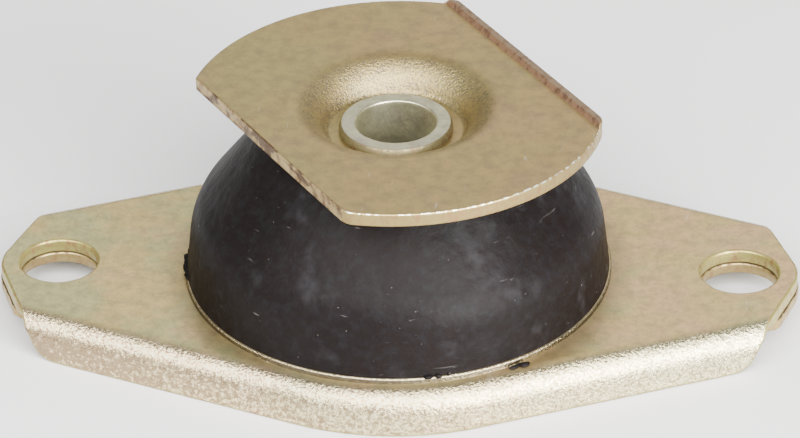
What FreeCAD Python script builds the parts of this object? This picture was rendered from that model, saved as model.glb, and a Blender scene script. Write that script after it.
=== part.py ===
import FreeCAD, Part
import math
import os

import Sketcher

# Rubber engine mount: a pressed lozenge flange, a flat base sheet under it, a bonded rubber
# dome, a centre sleeve, and a dished limit plate with one edge turned up.
#
# The frame: the origin is on the sleeve's axis, level with the lower edges of the skirts that
# the mount stands on. +X runs through the two bolt holes and +Z up the sleeve.

TAU = 2 * math.pi

# Alias, value in millimetres or degrees, and what it measures.
DIMENSIONS = (
    ("bolt_spacing", 115.0, "between the bolt hole centres, along X"),
    ("bolt_hole_diameter", 13.0, "clearance hole for M12"),
    ("ear_radius", 9.85, "flange ear, about its bolt hole"),
    ("ear_angle", 70.0, "degrees, ear's slanted edge to X"),
    ("side_angle", 22.2, "degrees, long side to X"),
    ("skirt_reach", 39.7, "sleeve axis to the outer face of a skirt"),
    ("skirt_depth", 7.9, "flange top face down to the skirt's lower edge"),
    ("skirt_slant", 2.4, "how far a skirt's end leans in towards its lower edge"),
    ("skirt_corner_radius", 4.5, "lower corners of a skirt"),
    ("bend_radius", 4.0, "outer radius of the bend from flange to skirt"),
    ("flange_sheet", 2.5, "flange sheet thickness"),
    ("land_radius", 35.95, "raised land round the rubber"),
    ("land_height", 0.9, "land above the flange top face"),
    ("land_edge_break", 0.3, "broken top edge of the land"),
    ("collar_bore_radius", 27.0, "inside of the collar turned up in the rubber"),
    ("collar_height", 6.0, "collar above the land"),
    ("collar_mouth_break", 2.5, "broken edge where the collar turns up, below"),
    ("base_sheet", 2.0, "base sheet thickness"),
    ("base_ear_margin", 0.2, "how far the base ears show past the flange ears"),
    ("base_side_clearance", 2.8, "base sheet's side to the inside of a skirt"),
    ("base_corner_radius", 2.0, "corners of the base sheet"),
    ("base_opening_radius", 22.0, "opening below the rubber's hollow"),
    ("rubber_foot_margin", 0.35, "land's edge to the rubber's foot"),
    ("rubber_draft", 1.2, "how far the wall leans in up to the shoulder"),
    ("rubber_wall_height", 10.6, "land to the corner where the shoulder turns in"),
    ("rubber_shoulder_radius", 12.0, "rounding of the shoulder"),
    ("rubber_crown_radius", 20.6, "flat crown under the limit plate"),
    ("rubber_skin", 1.6, "rubber on the sleeve and in the collar, round the hollow"),
    ("hollow_height", 13.0, "roof of the hollow, above the land"),
    ("hollow_lean", 3.5, "how far each side of the hollow leans in to the roof"),
    ("sleeve_diameter", 19.0, "outside of the centre sleeve"),
    ("sleeve_bore_diameter", 13.5, "bore of the centre sleeve"),
    ("sleeve_length", 28.0, "centre sleeve, end to end"),
    ("sleeve_chamfer", 0.4, "edges of the sleeve's ends"),
    ("sleeve_stand", 1.6, "sleeve's end above the floor of the dish"),
    ("plate_radius", 34.8, "limit plate before its two sides are cut off"),
    ("plate_sheet", 2.4, "limit plate thickness"),
    ("plate_top", 31.8, "flange top face up to the limit plate's top face"),
    ("plate_turn", 33.3, "degrees, limit plate turned about the sleeve from X"),
    ("plain_side_reach", 24.2, "sleeve axis to the plain cut side"),
    ("lipped_side_reach", 26.05, "sleeve axis to the cut side with the turned-up edge"),
    ("lip_height", 0.9, "turned-up edge above the plate's top face"),
    ("lip_width", 1.75, "turned-up edge, across"),
    ("lip_bend_radius", 1.6, "outside of the turned-up edge, below"),
    ("broad_corner_radius", 3.5, "near corner of the plain side"),
    ("lip_corner_radius", 3.0, "near corner of the lipped side"),
    ("tight_corner_radius", 1.0, "the two far corners"),
    ("dish_depth", 5.0, "plate's top face down to the floor of the dish"),
    ("dish_floor_radius", 11.6, "floor of the dish, to where its wall would meet it"),
    ("dish_wall_angle", 65.0, "degrees, wall of the dish to its floor"),
    ("dish_rim_break", 1.7, "broken edge from the plate's top face into the dish"),
    ("dish_root_break", 0.8, "broken edge from the wall of the dish to its floor"),
)


def size_sheet(document):
    """Put the driving dimensions into a spreadsheet, one alias a row."""
    sheet = document.addObject("Spreadsheet::Sheet", "Sizes")
    for row, (alias, value, meaning) in enumerate(DIMENSIONS, start=1):
        sheet.set(f"A{row}", alias)
        sheet.set(f"B{row}", str(value))
        sheet.set(f"C{row}", meaning)
        sheet.setAlias(f"B{row}", alias)
    document.recompute()
    return sheet


def size(alias):
    """The expression that reads one cell of the sheet."""
    return f"Sizes.{alias}"


# Sizes that follow from the driving ones, as expressions.
SIDE_SINE = f"sin({size('side_angle')} * 1deg)"
SIDE_COSINE = f"cos({size('side_angle')} * 1deg)"
EAR_SINE = f"sin({size('ear_angle')} * 1deg)"
EAR_COSINE = f"cos({size('ear_angle')} * 1deg)"
BOLT_REACH = f"{size('bolt_spacing')} / 2"

FLANGE_TOP = size("skirt_depth")
FLANGE_UNDER = f"({FLANGE_TOP} - {size('flange_sheet')})"
LAND_TOP = f"({FLANGE_TOP} + {size('land_height')})"
LAND_UNDER = f"({LAND_TOP} - {size('flange_sheet')})"
LAND_RECESS_RADIUS = f"({size('land_radius')} - {size('flange_sheet')})"
COLLAR_TOP = f"({LAND_TOP} + {size('collar_height')})"
COLLAR_OUTER_RADIUS = f"({size('collar_bore_radius')} + {size('flange_sheet')})"
COLLAR_MOUTH = f"({LAND_UNDER} + {size('collar_mouth_break')})"
BASE_UNDER = f"({FLANGE_UNDER} - {size('base_sheet')})"
BASE_REACH = f"({size('skirt_reach')} - {size('flange_sheet')} - {size('base_side_clearance')})"

SLEEVE_RADIUS = f"({size('sleeve_diameter')} / 2)"
SLEEVE_BORE_RADIUS = f"({size('sleeve_bore_diameter')} / 2)"
PLATE_TOP = f"({FLANGE_TOP} + {size('plate_top')})"
PLATE_UNDER = f"({PLATE_TOP} - {size('plate_sheet')})"
DISH_FLOOR = f"({PLATE_TOP} - {size('dish_depth')})"
DISH_FLOOR_UNDER = f"({DISH_FLOOR} - {size('plate_sheet')})"
DISH_RIM_CORNER = (
    f"({size('dish_floor_radius')} + {size('dish_depth')} / tan({size('dish_wall_angle')} * 1deg))"
)
DISH_SHIFT = f"{size('plate_sheet')} * tan({size('dish_wall_angle')} * 0.5deg)"
DISH_WALL_RUN = f"cos({size('dish_wall_angle')} * 1deg)"
DISH_WALL_RISE = f"sin({size('dish_wall_angle')} * 1deg)"
DISH_BLANK_RADIUS = f"({DISH_RIM_CORNER} + {size('dish_rim_break')} + {size('plate_sheet')})"
SLEEVE_TOP = f"({DISH_FLOOR} + {size('sleeve_stand')})"
SLEEVE_BOTTOM = f"({SLEEVE_TOP} - {size('sleeve_length')})"


def negative(expression):
    """The same expression on the other side of zero."""
    return f"-({expression})"


def origin_plane(body, role):
    """One of a body's own origin planes, by its role."""
    return next(item for item in body.Origin.OriginFeatures if item.Role == role)


def rounded_corner(before, corner, after, radius):
    """Where a round of this radius leaves the two lines at a corner, and its centre."""
    towards = [(point - corner).normalize() for point in (before, after)]
    half_angle = towards[0].getAngle(towards[1]) / 2
    setback = radius / math.tan(half_angle)
    middle = (towards[0] + towards[1]).normalize()
    centre = corner + middle * (radius / math.sin(half_angle))
    return corner + towards[0] * setback, corner + towards[1] * setback, centre


def arc_between(start, end, centre):
    """The shorter arc from start to end, and which of its own ends is the start."""
    radius = (start - centre).Length
    angles = [math.atan2(point.y - centre.y, point.x - centre.x) for point in (start, end)]
    forwards = (angles[1] - angles[0]) % TAU < math.pi
    first, last = angles if forwards else reversed(angles)
    circle = Part.Circle(centre, FreeCAD.Vector(0, 0, 1), radius)
    return Part.ArcOfCircle(circle, first, last), 1 if forwards else 2


def bind(sketch, constraint, name, expression):
    """Add a named constraint that follows an expression."""
    index = sketch.addConstraint(constraint)
    sketch.renameConstraint(index, name)
    sketch.setExpression(f"Constraints.{name}", expression)


def new_sketch(body, name, role, height=None):
    """An empty sketch on one of the body's origin planes, raised by an expression."""
    sketch = body.newObject("Sketcher::SketchObject", name)
    sketch.AttachmentSupport = (origin_plane(body, role), [""])
    sketch.MapMode = "FlatFace"
    if height is not None:
        sketch.setExpression("AttachmentOffset.Base.z", height)
    return sketch


def outline(sketch, corners, mark="p"):
    """Draw one closed outline of straight lines with some corners rounded.

    Each corner is (x, y) or (x, y, radius), all expressions. A point pins each corner,
    each line passes through its two corners, and each round is tangent to its lines.
    """
    evaluate = sketch.Document.Sizes.evalExpression
    values = [tuple(float(evaluate(entry)) for entry in corner) for corner in corners]
    points = [FreeCAD.Vector(entry[0], entry[1], 0) for entry in values]
    count = len(corners)
    ends = []
    for index in range(count):
        here = points[index]
        if len(corners[index]) == 3:
            around = (points[index - 1], here, points[(index + 1) % count])
            ends.append(rounded_corner(*around, values[index][2]))
        else:
            ends.append((here, here, None))
    pins = []
    for index, (point, corner) in enumerate(zip(points, corners)):
        pin = sketch.addGeometry(Part.Point(point), True)
        pins.append(pin)
        across = Sketcher.Constraint("DistanceX", -1, 1, pin, 1, point.x)
        along = Sketcher.Constraint("DistanceY", -1, 1, pin, 1, point.y)
        bind(sketch, across, f"{mark}{index}x", corner[0])
        bind(sketch, along, f"{mark}{index}y", corner[1])
    lines = []
    for index in range(count):
        after = (index + 1) % count
        line = Part.LineSegment(ends[index][1], ends[after][0])
        lines.append(sketch.addGeometry(line, False))
    for index in range(count):
        incoming, outgoing, pin = lines[index - 1], lines[index], pins[index]
        start, end, centre = ends[index]
        if centre is None:
            sketch.addConstraint(Sketcher.Constraint("Coincident", incoming, 2, pin, 1))
            sketch.addConstraint(Sketcher.Constraint("Coincident", outgoing, 1, pin, 1))
            continue
        sketch.addConstraint(Sketcher.Constraint("PointOnObject", pin, 1, incoming))
        sketch.addConstraint(Sketcher.Constraint("PointOnObject", pin, 1, outgoing))
        arc, start_end = arc_between(start, end, centre)
        curve = sketch.addGeometry(arc, False)
        sketch.addConstraint(Sketcher.Constraint("Tangent", incoming, 2, curve, start_end))
        sketch.addConstraint(Sketcher.Constraint("Tangent", outgoing, 1, curve, 3 - start_end))
        round_size = Sketcher.Constraint("Radius", curve, arc.Radius)
        bind(sketch, round_size, f"{mark}{index}r", corners[index][2])


def circle(sketch, x, radius, mark="c"):
    """Draw one circle centred on the sketch's X axis."""
    evaluate = sketch.Document.Sizes.evalExpression
    centre = FreeCAD.Vector(float(evaluate(x)), 0, 0)
    reach = float(evaluate(radius))
    ring = sketch.addGeometry(Part.Circle(centre, FreeCAD.Vector(0, 0, 1), reach), False)
    sketch.addConstraint(Sketcher.Constraint("PointOnObject", ring, 3, -1))
    bind(sketch, Sketcher.Constraint("DistanceX", -1, 1, ring, 3, centre.x), f"{mark}x", x)
    bind(sketch, Sketcher.Constraint("Radius", ring, reach), f"{mark}r", radius)


def pad(body, name, sketch, length):
    """Raise a sketch by an expression."""
    feature = body.newObject("PartDesign::Pad", name)
    feature.Profile = sketch
    feature.setExpression("Length", length)
    sketch.Document.recompute()
    return feature


def pocket(body, name, sketch, length=None, upwards=False, both_ways=False):
    """Cut a sketch away, by an expression or right through."""
    feature = body.newObject("PartDesign::Pocket", name)
    feature.Profile = sketch
    if length is None:
        feature.Type = "ThroughAll"
    else:
        feature.setExpression("Length", length)
    feature.Reversed = upwards
    feature.Midplane = both_ways
    volume = body_volume(body, feature)
    if not volume[1] < volume[0]:
        raise RuntimeError(f"{name} cut nothing")
    return feature


def body_volume(body, feature):
    """The body's volume before and after its newest feature."""
    base = feature.BaseFeature.Shape.Volume
    body.Document.recompute()
    return base, feature.Shape.Volume


def revolve(body, name, sketch):
    """Turn a sketch once round the body's Z axis."""
    feature = body.newObject("PartDesign::Revolution", name)
    feature.Profile = sketch
    feature.ReferenceAxis = (sketch, ["V_Axis"])
    feature.Angle = 360
    body.Document.recompute()
    return feature


def dress_edges(body, kind, name, chosen):
    """A fillet or chamfer on the edges of the body that a test picks out."""
    base = body.Tip
    edges = enumerate(base.Shape.Edges, start=1)
    names = [f"Edge{number}" for number, edge in edges if chosen(edge)]
    if not names:
        raise RuntimeError(f"{name} found no edge")
    feature = body.newObject(f"PartDesign::{kind}", name)
    feature.Base = (base, names)
    return feature


def round_edges(body, name, chosen, radius):
    """Round the edges of the body that a test picks out."""
    feature = dress_edges(body, "Fillet", name, chosen)
    feature.setExpression("Radius", radius)
    body.Document.recompute()


def new_body(document, name):
    """An empty body that carries its node's name."""
    body = document.addObject("PartDesign::Body", name)
    body.Label = name
    return body


def lozenge(reach, ear_radius, corner_radius=None):
    """The plan of a sheet: bulged long sides, slanted ear edges and round ear ends.

    The two long sides lie at the reach from the axis, and so does the bulge between them.
    Each ear's slanted edges touch a circle about its bolt hole.
    """
    ear_offset = f"({ear_radius} + {BOLT_REACH} * {EAR_SINE})"
    spread = f"sin(({size('ear_angle')} - {size('side_angle')}) * 1deg)"
    corner_x = f"({ear_offset} * {SIDE_COSINE} - ({reach}) * {EAR_COSINE}) / {spread}"
    corner_y = f"(({reach}) * {EAR_SINE} - {ear_offset} * {SIDE_SINE}) / {spread}"
    bulge_y = f"({reach}) / {SIDE_COSINE}"
    tip_x = f"{BOLT_REACH} + ({ear_radius}) / {EAR_SINE}"
    rounding = () if corner_radius is None else (corner_radius,)
    return (
        ("0", bulge_y, reach),
        (corner_x, corner_y, *rounding),
        (tip_x, "0", ear_radius),
        (corner_x, negative(corner_y), *rounding),
        ("0", negative(bulge_y), reach),
        (negative(corner_x), negative(corner_y), *rounding),
        (negative(tip_x), "0", ear_radius),
        (negative(corner_x), corner_y, *rounding),
    )


def rectangle(left, right, bottom, top):
    """The corners of a rectangle, as expressions."""
    return ((left, bottom), (right, bottom), (right, top), (left, top))


def bolt_holes(body):
    """Cut the two bolt holes right through."""
    sketch = new_sketch(body, "BoltHoleCircles", "XY_Plane")
    for mark, x in (("right", BOLT_REACH), ("left", negative(BOLT_REACH))):
        circle(sketch, x, f"{size('bolt_hole_diameter')} / 2", mark)
    return pocket(body, "BoltHoles", sketch, both_ways=True)


def dish_underside():
    """The underside of the dish, from the sleeve out to the flat of the limit plate."""
    return (
        (SLEEVE_RADIUS, DISH_FLOOR_UNDER),
        (f"{size('dish_floor_radius')} + {DISH_SHIFT}", DISH_FLOOR_UNDER),
        (f"{DISH_RIM_CORNER} + {DISH_SHIFT}", PLATE_UNDER),
    )


def collar_face():
    """The bonded face of the flange, from the collar's lower edge over its rim to the land."""
    return (
        (size("collar_bore_radius"), COLLAR_TOP),
        (COLLAR_OUTER_RADIUS, COLLAR_TOP),
        (COLLAR_OUTER_RADIUS, LAND_TOP),
    )


def along_long_sides(document, height):
    """A test for the edges that run along the long sides and their bulge at a height."""
    level = float(document.Sizes.evalExpression(height))
    slope = math.tan(math.radians(float(document.Sizes.side_angle)))

    def chosen(edge):
        if any(abs(vertex.Z - level) > 0.001 for vertex in edge.Vertexes):
            return False
        if isinstance(edge.Curve, Part.Circle):
            return edge.Curve.Center.distanceToPoint(FreeCAD.Vector(0, 0, level)) < 0.001
        start, end = (vertex.Point for vertex in edge.Vertexes)
        run = abs(end.x - start.x)
        return abs(abs(end.y - start.y) - slope * run) < 0.001 * run

    return chosen


def flange_plate(document):
    """The pressed sheet with its ears, turned-down skirts, raised land and collar."""
    body = new_body(document, "flange_plate")
    blank = new_sketch(body, "BlankOutline", "XY_Plane")
    outline(blank, lozenge(size("skirt_reach"), size("ear_radius")))
    pad(body, "Blank", blank, size("skirt_depth"))

    on_top = along_long_sides(document, FLANGE_TOP)
    round_edges(body, "Bend", on_top, size("bend_radius"))

    inside_reach = f"({size('skirt_reach')} - {size('flange_sheet')})"
    past_the_ears = f"({size('ear_radius')} + {size('skirt_reach')} / 2)"
    inside_radius = f"({size('bend_radius')} - {size('flange_sheet')})"
    hollow = new_sketch(body, "InsideOutline", "XY_Plane")
    outline(hollow, lozenge(inside_reach, past_the_ears))
    pocket(body, "Inside", hollow, FLANGE_UNDER, upwards=True)

    on_underside = along_long_sides(document, FLANGE_UNDER)
    round_edges(body, "InsideBend", on_underside, inside_radius)
    skirt_ends(body)
    land_and_collar(body)
    bolt_holes(body)
    return body


def skirt_ends(body):
    """Slant the ends of both skirts and round their lower corners."""
    corners = lozenge(size("skirt_reach"), size("ear_radius"))
    outer_x = f"({corners[1][0]})"
    far_x = f"({BOLT_REACH} + {size('skirt_reach')})"
    slanted_x = f"({outer_x} - {size('skirt_slant')})"
    below = f"-{size('skirt_depth')}"
    slope = f"({size('skirt_slant')} / {FLANGE_UNDER})"
    lowest_x = f"({slanted_x} - {size('skirt_depth')} * {slope})"
    sketch = new_sketch(body, "SkirtEndOutline", "XZ_Plane")
    right = ((outer_x, FLANGE_UNDER), (lowest_x, below), (far_x, below), (far_x, FLANGE_UNDER))
    outline(sketch, right, "right")
    outline(sketch, tuple((negative(x), z) for x, z in right), "left")
    pocket(body, "SkirtEnds", sketch, both_ways=True)

    slanted = float(body.Document.Sizes.evalExpression(slanted_x))

    def lower_corner(edge):
        ends = edge.Vertexes
        at_bottom = all(abs(vertex.Z) < 0.001 for vertex in ends)
        return at_bottom and all(abs(abs(vertex.X) - slanted) < 0.01 for vertex in ends)

    round_edges(body, "SkirtCorners", lower_corner, size("skirt_corner_radius"))


def land_and_collar(body):
    """Raise the land round the rubber and turn the collar up inside it."""
    recess = new_sketch(body, "LandRecessCircle", "XY_Plane")
    circle(recess, "0", LAND_RECESS_RADIUS)
    pocket(body, "LandRecess", recess, both_ways=True)
    ring = new_sketch(body, "LandProfile", "XZ_Plane")
    in_the_sheet = f"({FLANGE_TOP} - {size('flange_sheet')} / 2)"
    edge_break = size("land_edge_break")
    mouth_break = size("collar_mouth_break")
    outline(
        ring,
        collar_face()
        + (
            (f"{size('land_radius')} - {edge_break}", LAND_TOP),
            (size("land_radius"), f"{LAND_TOP} - {edge_break}"),
            (size("land_radius"), in_the_sheet),
            (LAND_RECESS_RADIUS, FLANGE_UNDER),
            (LAND_RECESS_RADIUS, LAND_UNDER),
            (f"{size('collar_bore_radius')} + {mouth_break}", LAND_UNDER),
            (size("collar_bore_radius"), COLLAR_MOUTH),
        ),
    )
    revolve(body, "LandAndCollar", ring)


def base_plate(document):
    """The flat sheet that nests between the skirts, with the same ears and holes."""
    body = new_body(document, "base_plate")
    ears = f"({size('ear_radius')} + {size('base_ear_margin')})"
    sheet = new_sketch(body, "SheetOutline", "XY_Plane", BASE_UNDER)
    outline(sheet, lozenge(BASE_REACH, ears, size("base_corner_radius")))
    pad(body, "Sheet", sheet, size("base_sheet"))
    opening = new_sketch(body, "OpeningCircle", "XY_Plane")
    circle(opening, "0", size("base_opening_radius"))
    pocket(body, "Opening", opening, both_ways=True)
    bolt_holes(body)
    return body


def rubber_dome(document):
    """The bonded rubber: a domed block over the collar with a hollow underneath."""
    body = new_body(document, "rubber_dome")
    foot = f"({size('land_radius')} - {size('rubber_foot_margin')})"
    shoulder = f"({foot} - {size('rubber_draft')})"
    shoulder_height = f"({LAND_TOP} + {size('rubber_wall_height')})"
    hollow_inside = f"({SLEEVE_RADIUS} + {size('rubber_skin')})"
    hollow_outside = f"({size('collar_bore_radius')} - {size('rubber_skin')})"
    roof = f"({LAND_TOP} + {size('hollow_height')})"
    section = new_sketch(body, "DomeProfile", "XZ_Plane")
    outline(
        section,
        dish_underside()
        + (
            (size("rubber_crown_radius"), PLATE_UNDER),
            (shoulder, shoulder_height, size("rubber_shoulder_radius")),
            (foot, LAND_TOP),
        )
        + tuple(reversed(collar_face()))
        + (
            (size("collar_bore_radius"), COLLAR_MOUTH),
            (hollow_outside, COLLAR_MOUTH),
            (f"{hollow_outside} - {size('hollow_lean')}", roof),
            (f"{hollow_inside} + {size('hollow_lean')}", roof),
            (hollow_inside, COLLAR_MOUTH),
            (SLEEVE_RADIUS, COLLAR_MOUTH),
        ),
    )
    revolve(body, "Dome", section)
    return body


def centre_sleeve(document):
    """The turned tube that the centre bolt goes through."""
    body = new_body(document, "centre_sleeve")
    tube = new_sketch(body, "TubeRings", "XY_Plane", SLEEVE_BOTTOM)
    circle(tube, "0", SLEEVE_RADIUS, "outside")
    circle(tube, "0", SLEEVE_BORE_RADIUS, "bore")
    pad(body, "Tube", tube, size("sleeve_length"))

    def at_an_end(edge):
        return isinstance(edge.Curve, Part.Circle)

    chamfer = dress_edges(body, "Chamfer", "EndChamfers", at_an_end)
    chamfer.setExpression("Size", size("sleeve_chamfer"))
    document.recompute()
    return body


def limit_plate(document):
    """The plate on top: a disc with two sides cut off, one turned up, and a dish."""
    body = new_body(document, "limit_plate")
    body.setExpression("Placement.Rotation.Angle", f"{size('plate_turn')} * 1deg")
    disc = new_sketch(body, "DiscCircle", "XY_Plane", PLATE_UNDER)
    circle(disc, "0", size("plate_radius"))
    pad(body, "Disc", disc, f"{size('plate_sheet')} + {size('lip_height')}")

    beyond = f"{size('plate_radius')} * 2"
    lip_inside = f"({size('lipped_side_reach')} - {size('lip_width')})"
    face = new_sketch(body, "FaceOutline", "XY_Plane", PLATE_TOP)
    outline(face, rectangle(negative(beyond), lip_inside, negative(beyond), beyond))
    pocket(body, "Face", face, beyond, upwards=True)

    sides = new_sketch(body, "SideCuts", "XY_Plane")
    right = rectangle(size("lipped_side_reach"), beyond, negative(beyond), beyond)
    left = rectangle(negative(beyond), negative(size("plain_side_reach")), negative(beyond), beyond)
    outline(sides, right, "right")
    outline(sides, left, "left")
    pocket(body, "Sides", sides, both_ways=True)
    round_plate_corners(body)
    lip_bend(body)
    dish(body)
    return body


def round_plate_corners(body):
    """Round the plate's four corners."""
    evaluate = body.Document.Sizes.evalExpression
    plain = -float(evaluate(size("plain_side_reach")))
    lipped = float(evaluate(size("lipped_side_reach")))

    def upright(side, near):
        def chosen(edge):
            ends = edge.Vertexes
            on_side = all(abs(vertex.X - side) < 0.001 for vertex in ends)
            level = abs(ends[0].Z - ends[-1].Z) < 0.001
            return on_side and not level and (ends[0].Y < 0) == near

        return chosen

    round_edges(body, "BroadCorner", upright(plain, True), size("broad_corner_radius"))
    round_edges(body, "LipCorner", upright(lipped, True), size("lip_corner_radius"))
    round_edges(body, "FarPlainCorner", upright(plain, False), size("tight_corner_radius"))
    round_edges(body, "FarLipCorner", upright(lipped, False), size("tight_corner_radius"))


def lip_bend(body):
    """Round the lower edge below the turned-up side, where the sheet is bent."""
    reach = size("lipped_side_reach")
    beyond = f"{size('plate_radius')} * 2"
    bend_height = f"({PLATE_UNDER} + {size('plate_sheet')})"
    bend_start = f"({reach} - {size('plate_sheet')})"
    sketch = new_sketch(body, "LipBendOutline", "XZ_Plane")
    outline(
        sketch,
        (
            (bend_start, PLATE_UNDER),
            (reach, PLATE_UNDER, size("lip_bend_radius")),
            (reach, bend_height),
            (beyond, bend_height),
            (beyond, "0"),
            (bend_start, "0"),
        ),
    )
    pocket(body, "LipBend", sketch, both_ways=True)


def dish(body):
    """Press the dish into the middle, with the sleeve's hole in its floor."""
    blank = new_sketch(body, "DishBlankCircle", "XY_Plane")
    circle(blank, "0", DISH_BLANK_RADIUS)
    pocket(body, "DishBlank", blank, both_ways=True)
    rim_break = size("dish_rim_break")
    root_break = size("dish_root_break")
    wall = new_sketch(body, "DishProfile", "XZ_Plane")
    outline(
        wall,
        dish_underside()
        + (
            (DISH_BLANK_RADIUS, PLATE_UNDER),
            (DISH_BLANK_RADIUS, PLATE_TOP),
            (f"{DISH_RIM_CORNER} + {rim_break}", PLATE_TOP),
            (
                f"{DISH_RIM_CORNER} - {rim_break} * {DISH_WALL_RUN}",
                f"{PLATE_TOP} - {rim_break} * {DISH_WALL_RISE}",
            ),
            (
                f"{size('dish_floor_radius')} + {root_break} * {DISH_WALL_RUN}",
                f"{DISH_FLOOR} + {root_break} * {DISH_WALL_RISE}",
            ),
            (f"{size('dish_floor_radius')} - {root_break}", DISH_FLOOR),
            (SLEEVE_RADIUS, DISH_FLOOR),
        ),
    )
    revolve(body, "Dish", wall)


def check(document, bodies):
    """Stop if any object failed or any piece is not one valid solid."""
    failed = [
        item.Name
        for item in document.Objects
        if "Invalid" in item.State or "Error" in item.State
    ]
    if failed:
        raise RuntimeError(f"failed objects: {', '.join(failed)}")
    for body in bodies:
        shape = body.Shape
        if shape.isNull() or not shape.isValid() or len(shape.Solids) != 1:
            raise RuntimeError(f"{body.Label} is not one valid solid")


def main():
    """Build the mount and write each piece to its own file."""
    document = FreeCAD.newDocument("EngineMount")
    size_sheet(document)
    makers = (flange_plate, base_plate, rubber_dome, centre_sleeve, limit_plate)
    bodies = [maker(document) for maker in makers]
    document.recompute()
    check(document, bodies)
    os.makedirs("parts", exist_ok=True)
    for body in bodies:
        body.Shape.exportStep(f"parts/{body.Label}.step")
        print(f"{body.Label}: {body.Shape.Volume:.0f} cubic mm")


main()
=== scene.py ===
"""Looks for the rubber engine mount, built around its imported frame.

Five pieces make the mount: a pressed flange with a skirt along each long side, a flat sheet
that nests between the skirts, a bonded rubber dome, a turned centre sleeve, and a dished
limit plate with one edge turned up. Every length is in metres, in the frame of the pack.
"""

import logging
import math
from dataclasses import dataclass, field
from enum import Enum
from functools import cached_property
from typing import Sequence

import bmesh
import bpy
from mathutils import Matrix, Vector, noise


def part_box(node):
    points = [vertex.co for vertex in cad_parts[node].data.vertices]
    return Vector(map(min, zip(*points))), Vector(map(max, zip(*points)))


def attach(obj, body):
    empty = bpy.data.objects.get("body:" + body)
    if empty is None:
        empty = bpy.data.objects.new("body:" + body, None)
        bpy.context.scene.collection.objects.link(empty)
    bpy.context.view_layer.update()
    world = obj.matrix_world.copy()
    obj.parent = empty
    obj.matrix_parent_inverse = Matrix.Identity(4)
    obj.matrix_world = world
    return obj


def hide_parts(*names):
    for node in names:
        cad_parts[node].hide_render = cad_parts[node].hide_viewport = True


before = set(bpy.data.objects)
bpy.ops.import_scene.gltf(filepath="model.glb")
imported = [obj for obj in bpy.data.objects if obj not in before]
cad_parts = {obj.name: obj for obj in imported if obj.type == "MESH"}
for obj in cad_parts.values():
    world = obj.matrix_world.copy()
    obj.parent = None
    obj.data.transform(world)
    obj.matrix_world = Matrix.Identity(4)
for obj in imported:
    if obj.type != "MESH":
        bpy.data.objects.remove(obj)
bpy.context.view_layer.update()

MM = 0.001
TAU = 2 * math.pi
BODY = "root"
UP = Vector((0, 0, 1))
SHARP_EDGE = math.radians(40)
EDGE_STEPS = 4
CUT_SIDE = 0.98

log = logging.getLogger("engine_mount")

Colour = tuple[float, float, float]
Point = tuple[float, float]
Socket = bpy.types.NodeSocket


# ---------------------------------------------------------------- shapes


@dataclass(frozen=True)
class Corner:
    """One corner of a section: how far out, how high, and how round."""

    reach: float
    height: float
    radius: float = 0.0

    @property
    def place(self) -> Vector:
        """The corner as a flat vector."""
        return Vector((self.reach, self.height))


def arc_points(before: Corner, corner: Corner, after: Corner, steps: int) -> list[Vector]:
    """Round one corner of a section.

    Args:
        before: the corner that comes before it.
        corner: the corner to round, with its radius.
        after: the corner that comes after it.
        steps: how many chords the round has.

    Returns:
        The points of the round in order, or the corner itself where it is sharp.
    """
    if corner.radius <= 0:
        return [corner.place]
    back = (before.place - corner.place).normalized()
    onward = (after.place - corner.place).normalized()
    half = back.angle(onward) / 2
    setback = corner.radius / math.tan(half)
    centre = corner.place + (back + onward).normalized() * (corner.radius / math.sin(half))
    start = corner.place + back * setback - centre
    turn = -back.angle_signed(-onward)
    turned = [Matrix.Rotation(turn * step / steps, 2) @ start for step in range(steps + 1)]
    return [centre + spoke for spoke in turned]


def trace(corners: Sequence[Corner], spacing: float, closed: bool = True) -> list[Vector]:
    """Walk a section, rounding its corners and dividing its long runs.

    Args:
        corners: the section's corners in order.
        spacing: the longest step along a straight run.
        closed: whether the last corner joins the first.

    Returns:
        The points of the section in order.
    """
    count = len(corners)
    knots: list[Vector] = []
    for index, corner in enumerate(corners):
        open_end = not closed and index in (0, count - 1)
        if open_end:
            knots.append(corner.place)
            continue
        before, after = corners[index - 1], corners[(index + 1) % count]
        steps = max(3, round(corner.radius / spacing * 2))
        knots.extend(arc_points(before, corner, after, steps))
    points: list[Vector] = []
    pairs = zip(knots, knots[1:] + knots[:1]) if closed else zip(knots, knots[1:])
    for start, end in pairs:
        steps = max(1, math.ceil((end - start).length / spacing))
        points.extend(start.lerp(end, step / steps) for step in range(steps))
    if not closed:
        points.append(knots[-1])
    return points


def ring_mesh(name: str, columns: Sequence[Sequence[Vector]]) -> bpy.types.Object:
    """Join closed sections that stand round an axis into one closed ring.

    Args:
        name: the piece's name.
        columns: the sections in order round the axis, each with as many points.

    Returns:
        The new object, smooth, with its faces turned outwards.
    """
    mesh = bpy.data.meshes.new(name)
    rows, count = len(columns[0]), len(columns)
    faces = []
    for column in range(count):
        here, beside = column * rows, (column + 1) % count * rows
        for row in range(rows):
            above = (row + 1) % rows
            faces.append((here + row, beside + row, beside + above, here + above))
    mesh.from_pydata([point for column in columns for point in column], [], faces)
    shell = bmesh.new()
    shell.from_mesh(mesh)
    bmesh.ops.recalc_face_normals(shell, faces=shell.faces)
    shell.to_mesh(mesh)
    shell.free()
    for polygon in mesh.polygons:
        polygon.use_smooth = True
    mesh.set_sharp_from_angle(angle=SHARP_EDGE)
    return placed(name, mesh)


def turned_mesh(name: str, section: Sequence[Vector], count: int) -> bpy.types.Object:
    """Turn a closed section round the mount's axis, in this many columns."""
    spokes = [spoke_at(TAU * column / count) for column in range(count)]
    return ring_mesh(name, [[spoke * at.x + UP * at.y for at in section] for spoke in spokes])


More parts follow.
